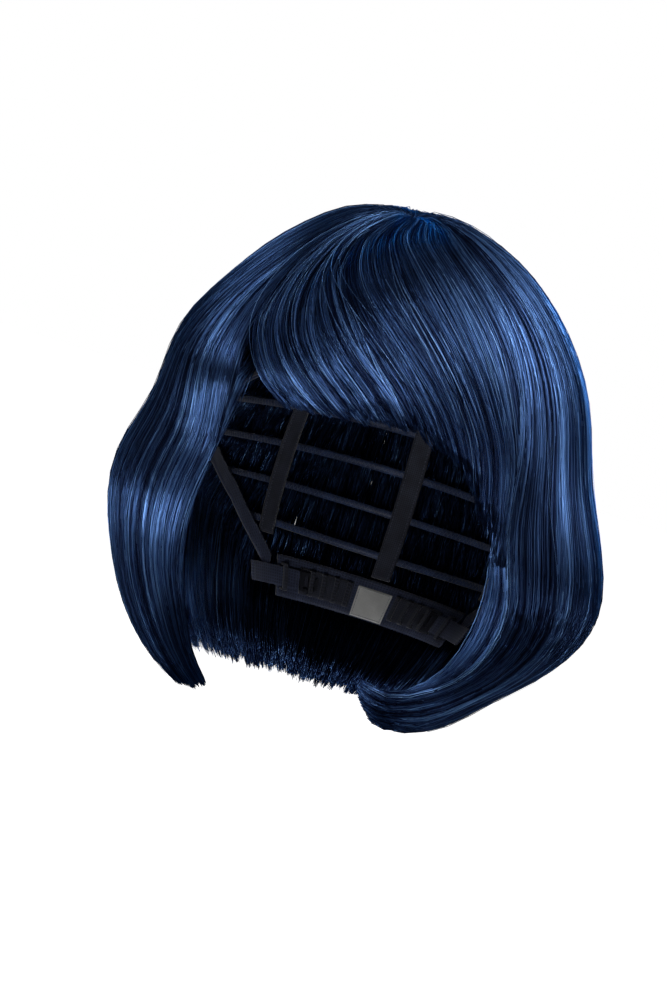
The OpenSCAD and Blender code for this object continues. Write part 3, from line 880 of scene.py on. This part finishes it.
def hooks():
    """The hooks keep their CAD shapes, in a slightly mottled dark plastic."""
    plastic, tree, shader = node_material("moulded_plastic", 0.42)
    grain = tree.nodes.new("ShaderNodeTexNoise")
    grain.inputs["Scale"].default_value = 400
    shades = ramp(tree, [(0.3, (0.012, 0.013, 0.018)), (0.7, (0.030, 0.032, 0.042))])
    tree.links.new(grain.outputs["Fac"], shades.inputs["Fac"])
    tree.links.new(shades.outputs["Color"], shader.inputs["Base Color"])
    for side in ("left", "right"):
        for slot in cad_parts["adjuster_hook_" + side].material_slots:
            slot.material = plastic


hooks()

# ---------------------------------------------------------------- stage, lights and camera
def around(az, el, distance):
    """A place at that distance in metres, azimuth 0 being in front of the wig."""
    level = distance * math.cos(el * DEG)
    return level * math.sin(az * DEG), -level * math.cos(az * DEG), distance * math.sin(el * DEG)


def area_light(name, direction, aim, size, power):
    place = around(*direction)
    light = bpy.data.lights.new(name, "AREA")
    light.shape = "RECTANGLE"
    light.size, light.size_y = size
    light.energy = power
    lamp = bpy.data.objects.new(name, light)
    bpy.context.scene.collection.objects.link(lamp)
    lamp.location = place
    lamp.rotation_euler = (Vector(aim) - Vector(place)).to_track_quat("-Z", "Y").to_euler()


def pale_floor():
    """A pale floor under the wig, which gives no light to it and doesn't show in its shine."""
    bpy.ops.mesh.primitive_plane_add(size=14, location=(0, 0, -0.30))
    floor = bpy.context.object
    floor.name = "floor"
    pale, _, shader = node_material("pale_floor", 0.9)
    shader.inputs["Base Color"].default_value = (0.9, 0.9, 0.9, 1)
    shader.inputs["Emission Color"].default_value = (1, 1, 1, 1)
    shader.inputs["Emission Strength"].default_value = 0.95
    floor.data.materials.append(pale)
    floor.visible_diffuse = False
    floor.visible_glossy = False


# name, (azimuth, elevation, distance), the point it is aimed at, size in metres, watts
LIGHTS = [
    ("key", (5, 32, 1.7), (0, 0, 0.0), (0.4, 0.4), 15),
    ("key_left", (-30, 32, 1.7), (0, 0, 0.0), (0.4, 0.4), 10),
    ("low_left", (-42, -20, 1.7), (0, 0, 0.0), (0.4, 0.3), 17),
    ("low_right", (48, -22, 1.7), (0, 0, 0.0), (0.4, 0.3), 8),
    ("low_far_left", (-80, -20, 1.7), (0, 0, 0.0), (0.4, 0.3), 8),
    ("right", (95, 45, 1.7), (0, 0, 0.0), (0.4, 0.9), 28),
    ("left", (-90, 40, 1.7), (0, 0, 0.0), (0.4, 0.6), 2),
    ("back_left", (-130, 25, 1.6), (0, 0, 0.03), (0.5, 0.9), 15),
    ("back_right", (140, 25, 1.6), (0, 0, 0.03), (0.5, 0.9), 15),
    ("inside", (8, -20, 0.62), (0, 0.1, 0.02), (0.16, 0.12), 0.9),
]


def studio_world():
    """A dim grey light from all round, which the camera sees as white."""
    world = bpy.data.worlds.new("studio")
    bpy.context.scene.world = world
    world.use_nodes = True
    tree = world.node_tree
    back = tree.nodes["Background"]
    back.inputs["Strength"].default_value = 1.0
    path = tree.nodes.new("ShaderNodeLightPath")
    grey = tree.nodes.new("ShaderNodeMix")
    grey.data_type = "RGBA"
    grey.inputs["A"].default_value = (0.10, 0.10, 0.11, 1)
    grey.inputs["B"].default_value = (1, 1, 1, 1)
    tree.links.new(path.outputs["Is Camera Ray"], grey.inputs["Factor"])
    tree.links.new(grey.outputs["Result"], back.inputs["Color"])


pale_floor()
for light in LIGHTS:
    area_light(*light)
studio_world()
bpy.context.scene.view_settings.view_transform = "Standard"

CAMERA_AZ, CAMERA_EL, CAMERA_ROLL = 11.0, 3.5, 17.0
CAMERA_DISTANCE = 2.0
VIEW_HEIGHT = 0.413                      # metres seen from top to bottom at the wig
AIM_RIGHT, AIM_UP = -0.0116, 0.0085      # metres from the frame's origin to the picture's middle
SENSOR = 36                              # mm, the width of the sensor that the lens is worked out for


def set_camera():
    camera = bpy.data.objects.new("camera", bpy.data.cameras.new("camera"))
    bpy.context.scene.collection.objects.link(camera)
    bpy.context.scene.camera = camera
    place = Vector(around(CAMERA_AZ, CAMERA_EL, CAMERA_DISTANCE))
    right = Vector((math.cos(CAMERA_AZ * DEG), math.sin(CAMERA_AZ * DEG), 0))
    back_axis = place.normalized()
    up = back_axis.cross(right)
    roll = Matrix.Rotation(CAMERA_ROLL * DEG, 3, back_axis)
    axes = Matrix([roll @ right, roll @ up, back_axis]).transposed()
    aim = right * AIM_RIGHT + up * AIM_UP
    camera.matrix_world = Matrix.Translation(place + aim) @ axes.to_4x4()
    camera.data.sensor_width = SENSOR
    camera.data.lens = SENSOR * CAMERA_DISTANCE / VIEW_HEIGHT
    camera.data.clip_end = 50


set_camera()
